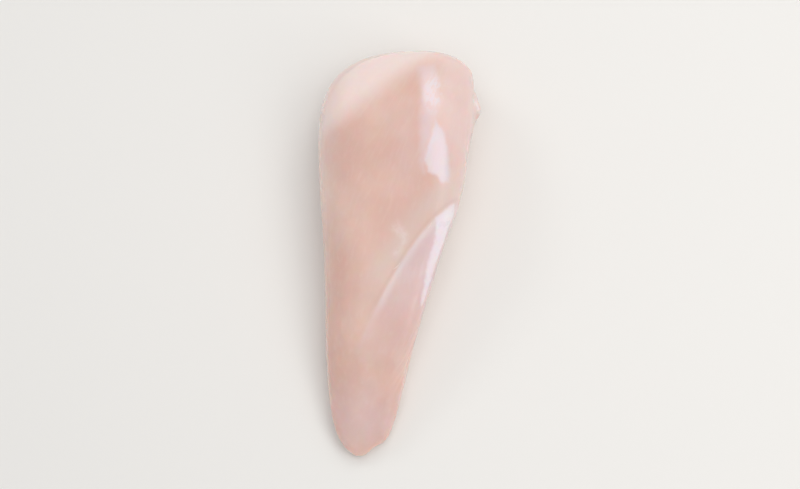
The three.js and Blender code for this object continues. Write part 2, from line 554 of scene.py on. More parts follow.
@dataclass(frozen=True)
class FloorFinish:
    """A plain, pale, matt floor, which stays as pale far away, where the softboxes don't reach.

    Lengths are in millimetres.
    """

    colour: Colour = (236, 234, 231)
    shade: Colour = (232, 230, 227)
    far_glow: Colour = (174, 173, 172)
    far: Ramp = Ramp(220.0, 1400.0)
    cloud_size: float = 400.0
    roughness: float = 0.75

    def material(self) -> bpy.types.Material:
        """Builds the material.

        Returns:
            The material, with faint clouds and a glow far from the middle.
        """
        tree = SurfaceMaterial("pale_floor")
        place = tree.place()
        cloud = tree.noise(place, self.cloud_size, 2.0, 1.0)
        reach = tree.node("ShaderNodeVectorMath", {"operation": "LENGTH"}, {0: place}, "Value")
        return tree.finish(
            {
                "Base Color": tree.mix(cloud, linear(self.colour), linear(self.shade)),
                "Roughness": self.roughness,
                "Emission Color": tree.mix(self.far(reach), (0.0, 0.0, 0.0, 1.0), linear(self.far_glow)),
                "Emission Strength": 1.0,
            }
        )


class GeometryTree(NodeTree):
    """A Geometry Nodes tree with named inputs, which is evaluated to a plain mesh."""

    KINDS = {float: "NodeSocketFloat", int: "NodeSocketInt", str: "NodeSocketString"}
    RANDOM_LOW, RANDOM_HIGH = 2, 3
    RANDOM_NUMBER = 1

    def __init__(self, name: str, sizes: dict[str, Any]) -> None:
        """Makes the tree with a geometry in and out, and inputs for the material and each size.

        Args:
            name: The tree's name.
            sizes: Each input's name and a value of its kind.
        """
        group = bpy.data.node_groups.new(name, "GeometryNodeTree")
        super().__init__(group)
        group.interface.new_socket(name="Geometry", in_out="INPUT", socket_type="NodeSocketGeometry")
        group.interface.new_socket(name="Geometry", in_out="OUTPUT", socket_type="NodeSocketGeometry")
        group.interface.new_socket(name="Material", in_out="INPUT", socket_type="NodeSocketMaterial")
        for size, value in sizes.items():
            group.interface.new_socket(name=size, in_out="INPUT", socket_type=self.KINDS[type(value)])
        self.entry = group.nodes.new("NodeGroupInput")
        self.exit = group.nodes.new("NodeGroupOutput")

    def given(self, name: str) -> Socket:
        """Gives the tree's input of that name."""
        return Socket(self, self.entry.outputs[name])

    def named(self, name: Union[str, Socket], kind: str = "FLOAT") -> Socket:
        """Reads a field that the mesh keeps at its points."""
        return self.node("GeometryNodeInputNamedAttribute", {"data_type": kind}, {"Name": name})

    def place(self) -> Socket:
        """Gives each point's place, in millimetres."""
        return self.scaled(self.node("GeometryNodeInputPosition"), 1.0 / MM)

    def swing(self, vector: Socket, size: float, detail: float, seed: float) -> Socket:
        """Gives soft noise from -1 to 1."""
        return (self.noise(vector, size, detail, seed) - 0.5) * 2.0

    def moved(self, geometry: Socket, offset: Socket) -> Socket:
        """Moves each point of a geometry by its offset."""
        return self.node("GeometryNodeSetPosition", {}, {"Geometry": geometry, "Offset": offset})

    def swayed(self, geometry: Socket, place: Socket, scale: float, detail: float, reach: Value) -> Socket:
        """Moves the points of a geometry about by soft noise.

        Args:
            geometry: What moves.
            place: Where the noise is read, in millimetres.
            scale: How close together its lumps are.
            detail: How many finer layers it has.
            reach: How far apart two points can move.

        Returns:
            The moved geometry.
        """
        sockets = {"Vector": place, "Scale": scale, "Detail": detail}
        noise = self.node("ShaderNodeTexNoise", {}, sockets, "Color")
        centred = self.node("ShaderNodeVectorMath", {"operation": "SUBTRACT"}, {0: noise, 1: (0.5, 0.5, 0.5)})
        return self.moved(geometry, self.scaled(centred, reach))

    def random(self, low: Value, high: Value, seed: Value) -> Socket:
        """Gives each point a number of its own between two."""
        sockets = {self.RANDOM_LOW: low, self.RANDOM_HIGH: high, "Seed": seed}
        return self.node("FunctionNodeRandomValue", {"data_type": "FLOAT"}, sockets, self.RANDOM_NUMBER)

    def nearest(self, mesh: Socket, value: Socket) -> Socket:
        """Reads a vector of a mesh at the place on it that is nearest to each point."""
        settings = {"data_type": "FLOAT_VECTOR"}
        return self.node("GeometryNodeSampleNearestSurface", settings, {"Mesh": mesh, "Value": value})

    def end(self, geometry: Socket) -> None:
        """Realizes what is left of instances, sets the material and links the tree's output.

        Args:
            geometry: What the tree has made.
        """
        plain = self.node("GeometryNodeRealizeInstances", {}, {"Geometry": geometry})
        sockets = {"Geometry": plain, "Material": self.given("Material")}
        dressed = self.node("GeometryNodeSetMaterial", {}, sockets)
        self.tree.links.new(dressed.output, self.exit.inputs["Geometry"])

    def applied(
        self, piece: bpy.types.Object, sizes: dict[str, Any], material: bpy.types.Material
    ) -> bpy.types.Object:
        """Runs the tree on a piece and keeps the result as the piece's plain mesh, shaded smooth.

        Args:
            piece: The object whose mesh goes into the tree.
            sizes: A value for each named input.
            material: The piece's material.

        Returns:
            The same object, with its new mesh and no modifier.
        """
        values = {**sizes, "Material": material}
        modifier = piece.modifiers.new(self.tree.name, "NODES")
        modifier.node_group = self.tree
        for item in self.tree.interface.items_tree:
            if item.in_out == "INPUT" and item.name in values:
                modifier[item.identifier] = values[item.name]
        flattened(piece)
        shades = np.ones(len(piece.data.polygons), dtype=bool)
        piece.data.polygons.foreach_set("use_smooth", shades)
        return piece


def flattened(piece: bpy.types.Object) -> bpy.types.Object:
    """Puts what a piece's modifiers make into its own mesh.

    Args:
        piece: A mesh object with modifiers.

    Returns:
        The same object, with no modifier left.
    """
    bpy.context.view_layer.update()
    graph = bpy.context.evaluated_depsgraph_get()
    made = piece.evaluated_get(graph)
    mesh = bpy.data.meshes.new_from_object(made, preserve_all_data_layers=True, depsgraph=graph)
    old = piece.data
    piece.modifiers.clear()
    piece.data = mesh
    bpy.data.meshes.remove(old)
    mesh.name = piece.name
    return piece


def linked(name: str, mesh: bpy.types.Mesh) -> bpy.types.Object:
    """Makes an object of a mesh and links it to the scene.

    Args:
        name: The object's name.
        mesh: Its mesh.

    Returns:
        The object.
    """
    piece = bpy.data.objects.new(name, mesh)
    bpy.context.scene.collection.objects.link(piece)
    return piece


def points_of(mesh: bpy.types.Mesh, what: str) -> np.ndarray:
    """Reads the points of a mesh.

    Args:
        mesh: The mesh.
        what: "co" for their places or "normal" for their normals.

    Returns:
        A row of three numbers for each point.
    """
    values = np.empty(len(mesh.vertices) * 3, np.float32)
    mesh.vertices.foreach_get(what, values)
    return values.reshape(-1, 3).astype(float)


def write_field(mesh: bpy.types.Mesh, name: str, values: np.ndarray) -> None:
    """Keeps a number or a vector at each point of a mesh.

    Args:
        mesh: The mesh.
        name: The field's name.
        values: A number or a row of three for each point.
    """
    kind, key = ("FLOAT", "value") if values.ndim == 1 else ("FLOAT_VECTOR", "vector")
    kept = mesh.attributes.new(name, kind, "POINT")
    kept.data.foreach_set(key, values.astype(np.float32).ravel())


def distance_from_path(places: np.ndarray, path: Sequence[Sequence[float]]) -> np.ndarray:
    """Finds how far places are from a path of straight runs.

    Args:
        places: A row for each place.
        path: The path's points.

    Returns:
        The distance of each place.
    """
    nearest = np.full(len(places), np.inf)
    for start, end in zip(np.array(path[:-1]), np.array(path[1:])):
        run = end - start
        offset = places - start
        share = np.clip(offset @ run / (run @ run), 0.0, 1.0)
        nearest = np.minimum(nearest, np.linalg.norm(offset - share[:, None] * run, axis=1))
    return nearest


@dataclass(frozen=True)
class MembraneEdge:
    """The upper edge of the membrane over the lower flank, in millimetres, from the flank to the tail."""

    start: Place = (26.0, 17.0)
    bend: Place = (6.0, 6.0)
    end: Place = (-13.0, -34.0)
    parts: int = 48

    def points(self) -> np.ndarray:
        """Works out the edge's curve, which bends once.

        Returns:
            Rows of x and y in millimetres.
        """
        share = np.linspace(0.0, 1.0, self.parts + 1)[:, None]
        start, bend, end = (np.array(place) for place in (self.start, self.bend, self.end))
        return start * (1 - share) ** 2 + 2 * bend * share * (1 - share) + end * share**2

    def beside(self, places: np.ndarray) -> tuple[np.ndarray, np.ndarray, np.ndarray]:
        """Finds where places lie by the edge.

        Args:
            places: Rows of x and y in millimetres.

        Returns:
            How far each place is below the edge, negative above it, which share of the edge's
            length it is beside, and the edge's direction there.
        """
        curve = self.points()
        nearest = np.full(len(places), np.inf)
        below = np.zeros(len(places))
        along = np.zeros(len(places))
        direction = np.zeros((len(places), 2))
        for i in range(self.parts):
            run = curve[i + 1] - curve[i]
            offset = places - curve[i]
            lowest = -np.inf if i == 0 else 0.0
            highest = np.inf if i == self.parts - 1 else 1.0
            share = np.clip(offset @ run / (run @ run), lowest, highest)
            distance = np.linalg.norm(offset - share[:, None] * run, axis=1)
            side = np.sign(run[0] * offset[:, 1] - run[1] * offset[:, 0])
            closer = distance < nearest
            nearest[closer] = distance[closer]
            below[closer] = (distance * side)[closer]
            along[closer] = (i + share[closer]) / self.parts
            direction[closer] = run / np.linalg.norm(run)
        return below, along, direction


@dataclass(frozen=True)
class HighlightPatch:
    """A wet patch on the flesh whose colour is a painted highlight, with its outline seen from above, in
    millimetres.
    """

    outline: tuple[Place, ...]

    def distance(self, places: np.ndarray) -> np.ndarray:
        """Finds how far places are from the patch's edge.

        Args:
            places: Rows of x and y in millimetres.

        Returns:
            The distance of each place, negative inside the patch.
        """
        x, y = places.T
        corners = np.array(self.outline + self.outline[:1])
        inside = np.zeros(len(places), dtype=bool)
        for start, end in zip(corners[:-1], corners[1:]):
            run = end - start
            if run[1]:
                crossed = (start[1] > y) != (end[1] > y)
                inside ^= crossed & (x < start[0] + run[0] * (y - start[1]) / run[1])
        nearest = distance_from_path(places, corners)
        return np.where(inside, -nearest, nearest)


@dataclass(frozen=True)
class Lie:
    """Each point's place in millimetres, its normal, and how it lies by the membrane's edge.

    Below is in millimetres, and along is a share of the edge's length. On top, on side and on edge
    are shares from 0 to 1.
    """

    place: np.ndarray
    normal: np.ndarray
    below: np.ndarray
    along: np.ndarray
    direction: np.ndarray
    on_top: np.ndarray
    on_side: np.ndarray
    on_edge: np.ndarray


@dataclass
class FleshSurface:
    """The breast's skin side, flanks and underside: the solid's own form, made fine and given relief.

    Lengths are in millimetres of the part's frame. A ramp or bump reads a length, a share of one,
    or how far a point's normal turns up, to the flank or to the keel.
    """

    solid: bpy.types.Object
    finish: FleshFinish = field(default_factory=FleshFinish)
    edge: MembraneEdge = field(default_factory=MembraneEdge)
    refinements: int = 2
    # Wet patches whose colour is a painted highlight, and the cool painted trail beside the one on the
    # shoulder.
    shoulder_pool: HighlightPatch = HighlightPatch((
        (14.0, 46.4), (17.4, 41.6), (19.4, 33.7), (20.0, 26.2), (19.6, 21.4),
        (16.2, 20.4), (14.4, 23.4), (10.8, 25.0), (9.2, 30.2), (11.6, 38.2),
    ))
    membrane_pool: HighlightPatch = HighlightPatch((
        (20.9, 13.4), (22.0, 10.6), (20.0, 5.6), (18.0, 0.4), (15.9, -4.4), (13.5, -9.5), (11.8, -15.6),
        (8.6, -25.0), (10.2, -15.0), (11.2, -9.0), (12.9, -4.2), (14.2, 0.3), (14.6, 5.0), (14.6, 7.6),
    ))
    trail: HighlightPatch = HighlightPatch((
        (7.6, 69.5), (14.0, 71.5), (16.0, 62.0), (15.5, 50.0), (13.5, 45.5), (12.5, 38.0),
        (10.0, 31.0), (9.4, 25.0), (7.6, 29.0), (7.8, 44.0), (8.2, 56.0),
    ))
    pool_overlap: float = 0.5
    steep: Ramp = Ramp(0.45, 0.05)
    steep_loss: float = 3.5
    dry_distance: float = 9.0
    beads_place: Place = (13.0, 57.6)
    beads_reach: Place = (4.6, 11.0)
    beads_fade: Ramp = Ramp(1.0, 0.5)
    cool_across: Ramp = Ramp(11.0, 20.0)
    cool_along: Ramp = Ramp(-60.0, -10.0)
    trail_cool: float = 0.6
    trail_side: Bump = Bump(3.0, 4.0)
    trail_middle: Bump = Bump(36.0, 13.0)
    # The pale crown of the head: partly its own paler rim, partly a painted reflection, with painted light on
    # its shoulder and keel.
    crown_start: Place = (-29.5, 42.0)
    crown_end: Place = (10.7, 73.0)
    crown_rim: Place = (-5.5, 6.5)
    crown_rim_on_wall: Place = (-19.5, 36.5)
    crown_wall: Ramp = Ramp(0.6, 0.1)
    crown_wall_loss: float = 0.35
    pale_shoulder: float = 0.25
    pale_across: Ramp = Ramp(14.0, 21.0)
    pale_along: Ramp = Ramp(20.0, 50.0)
    pale_keel: float = 0.45
    pale_keelward: Ramp = Ramp(-0.3, -0.85)
    pale_keel_along: Ramp = Ramp(0.0, 60.0)
    # Flecks and tears of fascia.
    fleck_path: tuple[Place, ...] = ((-1.4, 5.4), (2.4, 0.4), (0.9, -2.8), (-1.7, -6.6))
    fleck_arm: tuple[Place, ...] = ((-2.4, 3.8), (0.2, 1.2), (1.8, -0.4))
    fleck_line: Bump = Bump(0.0, 0.9)
    torn_rim: tuple[Spot, ...] = (
        (30.4, 58.2, 25.6), (32.0, 57.0, 21.5), (33.0, 55.4, 17.0), (31.6, 52.2, 14.0),
    )
    torn_reach: float = 1.5
    torn_fade: Ramp = Ramp(2.5, 0.5)
    # The membrane, its edge, and the walls round the breast's widest line.
    wall: Ramp = Ramp(0.7, 0.15)
    edge_turn: float = 27.0
    edge_turn_reach: float = 7.0
    edge_slant: float = 1.3
    edge_fade: Ramp = Ramp(1.15, 0.6)
    edge_pull: Bump = Bump(0.0, 3.0)
    under_edge: Ramp = Ramp(-0.5, 0.5)
    cover_fade: Ramp = Ramp(1.3, 0.4)
    tail_cover: float = 0.5
    tail: Ramp = Ramp(-48.0, -72.0)
    corner_band: Bump = Bump(1.6, 1.5)
    corner_reach: Ramp = Ramp(0.5, 0.12)
    fascia_band: Bump = Bump(0.4, 0.9)
    fascia_start: Ramp = Ramp(0.02, 0.1)
    widest_height: float = 12.5
    widest_slope: float = 0.08
    above_widest: Ramp = Ramp(-1.0, 2.0)
    near_widest: Ramp = Ramp(-4.0, 3.0)
    upward: Ramp = Ramp(-0.1, 0.35)
    flankward: Ramp = Ramp(0.1, 0.6)
    # The seam of the rib meat, and the fold round the head's end.
    seam_height: float = 8.5
    seam_waves: tuple[tuple[float, float, float], ...] = ((58.0, 6.0, 1.5), (27.0, -2.0, 0.7))
    seam_start: Ramp = Ramp(-62.0, -34.0)
    seam_end: Ramp = Ramp(54.0, 26.0)
    seam_flankward: Ramp = Ramp(-0.1, 0.4)
    seam_line: Bump = Bump(0.0, 1.6)
    seam_fat_line: Bump = Bump(-1.2, 1.3)
    fold_height: float = 23.0
    fold_slope: float = -0.18
    fold_blood: float = 0.6
    fold_fat: float = 0.35
    fold_line: Bump = Bump(0.0, 1.8)
    fold_fat_line: Bump = Bump(-1.0, 1.4)
    head_end: Ramp = Ramp(0.6, 0.88)
    # Where walls show coarse fibres and threads, and where relief is clear of the floor.
    upright: Ramp = Ramp(0.75, 0.3)
    low: Ramp = Ramp(24.0, 12.0)
    before_tail: Ramp = Ramp(-70.0, -40.0)
    keelward: Ramp = Ramp(-0.2, -0.7)
    keel_threads: float = 0.5
    coarse_wall: float = 0.7
    above_rim: Ramp = Ramp(1.0, 4.0)
    clear_of_floor: Ramp = Ramp(0.3, 3.0)
    # The run of the fibres, and the relief.
    fibre_meeting_place: Place = (38.0, 128.0)
    fibre_radius: float = 110.0
    fibre_stretch: float = 9.0
    strata_head: float = 36.0
    strata_tail: float = 13.0
    strata_stretch: float = 16.0
    lump_height: float = 0.25
    lump_size: float = 18.0
    bundle_height: float = 0.12
    bundle_size: float = 4.5
    bundle_loss: float = 0.7
    layer_gain: float = 3.0
    layer_size: float = 3.2
    fibre_height: float = 0.04
    fibre_size: float = 1.7
    fibre_loss: float = 0.7
    lip_height: float = 0.3
    lip: Bump = Bump(0.0, 0.8)
    torn_height: float = 0.45
    torn_size: float = 2.0
    torn_level: float = 0.4
    wrinkle_height: float = 0.1
    wrinkle_size: float = 2.6

    def build(self) -> bpy.types.Object:
        """Builds the piece.

        Returns:
            The finished mesh object, with the fields that the materials and strands read.
        """
        piece = linked("breast_flesh", self._merged_solid())
        refine = piece.modifiers.new("refine", "SUBSURF")
        refine.levels = refine.render_levels = self.refinements
        flattened(piece)
        self._write_fields(piece.data)
        return self._relief_tree().applied(piece, self._heights(), self.finish.material())

    def _merged_solid(self) -> bpy.types.Mesh:
        """Copies the solid with its points merged and its triangles paired into quads.

        Returns:
            The new mesh.
        """
        work = bmesh.new()
        work.from_mesh(self.solid.data)
        bmesh.ops.remove_doubles(work, verts=work.verts, dist=0.001 * MM)
        bmesh.ops.join_triangles(
            work, faces=work.faces, angle_face_threshold=math.pi, angle_shape_threshold=math.pi
        )
        LOG.info("the solid has %d faces once they are paired", len(work.faces))
        mesh = bpy.data.meshes.new("breast_flesh")
        work.to_mesh(mesh)
        work.free()
        return mesh

    def _write_fields(self, mesh: bpy.types.Mesh) -> None:
        """Keeps at each point what the relief, the materials and the strands read.

        Args:
            mesh: The flesh, already fine.
        """
        lie = self._lie(points_of(mesh, "co") / MM, points_of(mesh, "normal"))
        for fields in (
            self._fibre_fields(lie),
            self._membrane_fields(lie),
            self._painted_highlight_fields(lie),
            self._seam_fields(lie),
            self._wall_fields(lie),
        ):
            for name, values in fields.items():
                write_field(mesh, name, values)

    def _lie(self, place: np.ndarray, normal: np.ndarray) -> Lie:
        """Finds where points lie by the membrane's edge, and above the breast's widest line.

        Args:
            place: Rows of x, y and z in millimetres.
            normal: Rows of the surface's normals.

        Returns:
            How all the points lie.
        """
        _, y, z = place.T
        up = normal[:, 2]
        below, along, direction = self.edge.beside(place[:, :2])
        down = np.clip(self.edge_turn - z, 0.0, None)
        below = below - self.wall(up) * self.edge_slant * down * down / (down + self.edge_turn_reach)
        height = z - (self.widest_height + self.widest_slope * y)
        on_top = self.upward(up) * self.above_widest(height)
        on_side = self.near_widest(height)
        return Lie(place, normal, below, along, direction, on_top, on_side, self.edge_fade(along) * on_side)

    def _fibre_fields(self, lie: Lie) -> Fields:
        """Finds how the fibres run: towards one meeting place on top, and in layers on the walls.

        Args:
            lie: How the points lie.

        Returns:
            Coordinates along the fibres and the layers, and the way that strands lie.
        """
        x, y, z = lie.place.T
        to_meeting = np.array(self.fibre_meeting_place) - lie.place[:, :2]
        reach = np.linalg.norm(to_meeting, axis=1)
        across = np.arctan2(to_meeting[:, 0], to_meeting[:, 1]) * self.fibre_radius
        thickness = self.strata_tail + (self.strata_head - self.strata_tail) * (y - y.min()) / np.ptp(y)
        layer = z / thickness * self.strata_head
        by_edge = self.edge_pull(lie.below)[:, None]
        flow = to_meeting / reach[:, None] * (1 - by_edge) + lie.direction * by_edge
        return {
            "grain": np.stack([across, reach / self.fibre_stretch, z], axis=1),
            "strata": np.stack([x / self.strata_stretch, y / self.strata_stretch, layer], axis=1),
            "flow": np.column_stack([flow, 0 * x]),
        }

    def _membrane_fields(self, lie: Lie) -> Fields:
        """Finds where the membrane covers the flesh.

        Args:
            lie: How the points lie.

        Returns:
            The membrane, its edge with the bright corner, and the line of fascia on it.
        """
        covered = self.under_edge(lie.below) * self.cover_fade(lie.along)
        tail = self.tail_cover * self.tail(lie.place[:, 1])
        return {
            "membrane_below": lie.below,
            "membrane_edge": lie.on_edge,
            "membrane": np.maximum(covered, tail) * lie.on_side,
            "membrane_corner": self.corner_band(lie.below) * self.corner_reach(lie.along) * lie.on_top,
            "fascia": self.fascia_band(lie.below) * lie.on_edge * self.fascia_start(lie.along),
        }

    def _painted_highlight_fields(self, lie: Lie) -> Fields:
        """Finds the wet patches whose colour is a painted highlight. A patch ends where a wall gets steep.

        Args:
            lie: How the points lie.

        Returns:
            How far points are from each patch, and the shares of the mottled painted highlight of beads and
            of cool flesh.
        """
        x, y, _ = lie.place.T
        pools = {
            "shoulder_pool": self.shoulder_pool,
            "membrane_pool": self.membrane_pool,
            "trail": self.trail,
        }
        steep = self.steep_loss * self.steep(lie.normal[:, 2])
        fields = {name: pool.distance(lie.place[:, :2]) + steep for name, pool in pools.items()}
        fields["membrane_pool"] = np.maximum(fields["membrane_pool"], -self.pool_overlap - lie.below)
        on_top = lie.on_top > 0
        fields = {name: np.where(on_top, distance, self.dry_distance) for name, distance in fields.items()}
        from_beads = (lie.place[:, :2] - np.array(self.beads_place)) / np.array(self.beads_reach)
        fields["beads"] = self.beads_fade(np.hypot(*from_beads.T)) * lie.on_top
        shoulder = self.cool_across(x) * self.cool_along(y)
        beside_trail = self.trail_cool * self.trail_side(x) * self.trail_middle(y)
        fields["cool"] = np.maximum(shoulder, beside_trail) * lie.on_top
        return fields

    def _seam_fields(self, lie: Lie) -> Fields:
        """Finds the seam of the rib meat low on the flank, and the fold round the head's end.

        Args:
            lie: How the points lie.

        Returns:
            The shares of blood and of fat in both.
        """
        x, y, z = lie.place.T
        to_flank = lie.normal[:, 0]
        waves = (rise * np.sin(2 * math.pi * (y - start) / length) for length, start, rise in self.seam_waves)
        from_seam = z - (self.seam_height + sum(waves))
        within = self.seam_start(y) * self.seam_end(y)
        seam = self.seam_line(from_seam) * self.seam_flankward(to_flank) * within
        seam_fat = self.seam_fat_line(from_seam) * self.flankward(to_flank) * within
        from_fold = z - self.fold_height - self.fold_slope * x
        at_end = self.head_end(y / y.max())
        return {
            "seam": np.maximum(seam, self.fold_blood * self.fold_line(from_fold) * at_end),
            "fat": np.maximum(seam_fat, self.fold_fat * self.fold_fat_line(from_fold) * at_end),
        }

    def _wall_fields(self, lie: Lie) -> Fields:
        """Finds the coarse walls, the pale crown with its painted reflection, and where fascia is torn or
        left in flecks.

        Args:
            lie: How the points lie.

        Returns:
            Their shares, and how far points are from the torn rim.
        """
        _, y, z = lie.place.T
        to_flank, _, up = lie.normal.T
        torn = distance_from_path(lie.place, self.torn_rim) / self.torn_reach
        flecks = [distance_from_path(lie.place[:, :2], path) for path in (self.fleck_path, self.fleck_arm)]
        side = self.upright(np.abs(up))
        lower_flank = self.flankward(to_flank) * self.low(z) * self.before_tail(y)
        keel_side = self.keel_threads * side * self.keelward(to_flank)
        return {
            "crown": self._crown_share(lie),
            "free": self.clear_of_floor(z),
            "torn_distance": torn,
            "torn": self.torn_fade(torn),
            "fleck": self.fleck_line(np.minimum(*flecks)) * lie.on_top,
            "sinew": np.maximum(lower_flank, keel_side) * self.above_rim(z),
            "coarse": np.maximum(lower_flank, self.coarse_wall * side),
        }

    def _crown_share(self, lie: Lie) -> np.ndarray:
        """Finds how pale the head is, partly its own paler rim and partly a painted reflection: most beyond
        the crown's line, and some painted light on its shoulder and keel.

        Args:
            lie: How the points lie.

        Returns:
            The pale colour's share at each point.
        """
        x, y, _ = lie.place.T
        to_flank, _, up = lie.normal.T
        start, end = np.array(self.crown_start), np.array(self.crown_end)
        run = (end - start) / np.linalg.norm(end - start)
        beyond = run[0] * (y - start[1]) - run[1] * (x - start[0])
        wall = self.crown_wall(up)
        rims = zip(self.crown_rim, self.crown_rim_on_wall)
        low, high = (top + (on_wall - top) * wall for top, on_wall in rims)
        crown = smooth_step(low, high, beyond) * (1.0 - self.crown_wall_loss * wall)
        # Painted light on the shoulder and on the keel side.
        shoulder = self.pale_shoulder * self.pale_across(x) * self.pale_along(y)
        keel = self.pale_keel * self.pale_keelward(to_flank) * self.pale_keel_along(y)
        return np.maximum(np.maximum(crown, shoulder), keel)

    def _heights(self) -> dict[str, float]:
        """Gives the height of each kind of relief."""
        return {
            "Lump Height": self.lump_height,
            "Bundle Height": self.bundle_height,
            "Fibre Height": self.fibre_height,
            "Lip Height": self.lip_height,
            "Torn Height": self.torn_height,
            "Wrinkle Height": self.wrinkle_height,
        }

    def _relief_tree(self) -> GeometryTree:
        """Builds the tree that raises the relief.

        Returns:
            The tree, whose inputs are the heights in millimetres and the material.
        """
        tree = GeometryTree("flesh_relief", self._heights())
        place = tree.place()
        grain = tree.named("grain", "FLOAT_VECTOR")
        membrane = tree.named("membrane")
        coarse = tree.named("coarse")
        layers = tree.swing(tree.named("strata", "FLOAT_VECTOR"), self.layer_size, 1.0, 18.0)
        bundles = tree.swing(grain, self.bundle_size, 1.0, 12.0) * (1 - coarse * self.bundle_loss)
        torn = (tree.noise(place, self.torn_size, 3.0, 9.0) - self.torn_level) * 2.0
        relief = {
            "Lump Height": tree.swing(place, self.lump_size, 2.0, 11.0),
            "Bundle Height": bundles + layers * coarse * self.layer_gain,
            "Fibre Height": tree.swing(grain, self.fibre_size, 1.0, 13.0) * (1 - membrane * self.fibre_loss),
            "Lip Height": self.lip(tree.named("membrane_below")) * tree.named("membrane_edge"),
            "Torn Height": torn * tree.named("torn"),
            "Wrinkle Height": tree.swing(grain, self.wrinkle_size, 2.0, 14.0) * membrane,
        }
        height = sum(share * tree.given(name) for name, share in relief.items())
        offset = tree.scaled(tree.node("GeometryNodeInputNormal"), height * tree.named("free") * MM)
        tree.end(tree.moved(tree.given("Geometry"), offset))
        return tree


@dataclass(frozen=True)
class StrandKind:
    """One kind of strand that lies on the flesh. Lengths are in millimetres."""

    name: str
    share: str
    per_square_metre: float
    length: float
    radius: float
    wiggle: float
    lift: float
    seed: int


@dataclass
class Strands:
    """Threads of fascia, scattered over the flesh where it keeps a share for them.

    Each lies along the flow, turned from it by up to the turn, in radians. The shortest and the
    longest are multiples of its kind's length.
    """

    flesh: bpy.types.Object
    tissue: Tissue = Tissue.FASCIA
    kinds: tuple[StrandKind, ...] = (
        StrandKind("fascia_threads", "fascia", 5200.0, 7.0, 0.13, 0.9, 0.02, 3),
        StrandKind("torn_shreds", "torn", 40000.0, 3.0, 0.16, 1.2, 0.06, 8),
        StrandKind("flank_threads", "sinew", 1500.0, 18.0, 0.11, 0.7, 0.0, 13),
    )
    points: int = 10
    sides: int = 6
    turn: float = 0.35
    shortest: float = 0.4
    longest: float = 1.5
    wiggle_scale: float = 0.3
    end_share: float = 0.01

    def build(self) -> list[bpy.types.Object]:
        """Builds every kind of strand.

        Returns:
            One piece for each kind.
        """
        tree = self._tree()
        material = self.tissue.value.material()
        pieces = []
        for kind in self.kinds:
            piece = linked(kind.name, self.flesh.data.copy())
            pieces.append(tree.applied(piece, self._sizes(kind), material))
        return pieces

    @staticmethod
    def _sizes(kind: StrandKind) -> dict[str, Any]:
        """Gives the tree's inputs for one kind, with lengths in metres."""
        return {
            "Share": kind.share,
            "Density": kind.per_square_metre,
            "Length": kind.length * MM,
            "Radius": kind.radius * MM,
            "Wiggle": kind.wiggle * MM,
            "Lift": kind.lift * MM,
            "Seed": kind.seed,
        }

    def _tree(self) -> GeometryTree:
        """Builds the tree that scatters strands along the flow of the flesh and lays them on it.

        Returns:
            The tree, whose inputs are one kind's sizes and the material.
        """
        tree = GeometryTree("strands", self._sizes(self.kinds[0]))
        flesh = tree.given("Geometry")
        seed = tree.given("Seed")
        density = tree.named(tree.given("Share")) * tree.given("Density")
        scatter = {"Mesh": flesh, "Density": density, "Seed": seed}
        along_flow = {"Vector": tree.named("flow", "FLOAT_VECTOR")}
        rotation = tree.node("FunctionNodeAlignRotationToVector", {"axis": "X"}, along_flow)
        spin = tree.node("ShaderNodeCombineXYZ", {}, {"Z": tree.random(-self.turn, self.turn, seed)})
        turned = {"Rotation": rotation, "Rotate By": spin}
        line = tree.node("GeometryNodeCurvePrimitiveLine", {}, {"Start": (-0.5, 0, 0), "End": (0.5, 0, 0)})
        copies = {
            "Points": tree.node("GeometryNodeDistributePointsOnFaces", {}, scatter),
            "Instance": tree.node("GeometryNodeResampleCurve", {}, {"Curve": line, "Count": self.points}),
            "Rotation": tree.node("FunctionNodeRotateRotation", {}, turned),
            "Scale": tree.random(self.shortest, self.longest, seed + 1) * tree.given("Length"),
        }
        laid = tree.node("GeometryNodeInstanceOnPoints", {}, copies)
        laid = tree.node("GeometryNodeRealizeInstances", {}, {"Geometry": laid})
        laid = tree.swayed(laid, tree.place(), self.wiggle_scale, 1.0, tree.given("Wiggle") * 2.0)

        # Once they are swayed, the strands are laid back on the flesh.
        on_flesh = tree.nearest(flesh, tree.node("GeometryNodeInputPosition"))
        out = tree.nearest(flesh, tree.node("GeometryNodeInputNormal"))
        lifted = {0: on_flesh, 1: tree.scaled(out, tree.given("Lift"))}
        place = tree.node("ShaderNodeVectorMath", {"operation": "ADD"}, lifted)
        laid = tree.node("GeometryNodeSetPosition", {}, {"Geometry": laid, "Position": place})

        # Each strand becomes a tube that gets thin towards its ends.
        along = tree.node("GeometryNodeSplineParameter")
        fullness = along * (1 - along) * 4.0 + self.end_share
        taper = tree.node("ShaderNodeMath", {"operation": "SQRT"}, {0: fullness})
        laid = tree.node("GeometryNodeSetCurveRadius", {}, {"Curve": laid, "Radius": taper})
        round_section = {"Resolution": self.sides, "Radius": tree.given("Radius")}
        ring = tree.node("GeometryNodeCurvePrimitiveCircle", {}, round_section)
        tube = {"Curve": laid, "Profile Curve": ring, "Fill Caps": True}
        tree.end(tree.node("GeometryNodeCurveToMesh", {}, tube))
        return tree


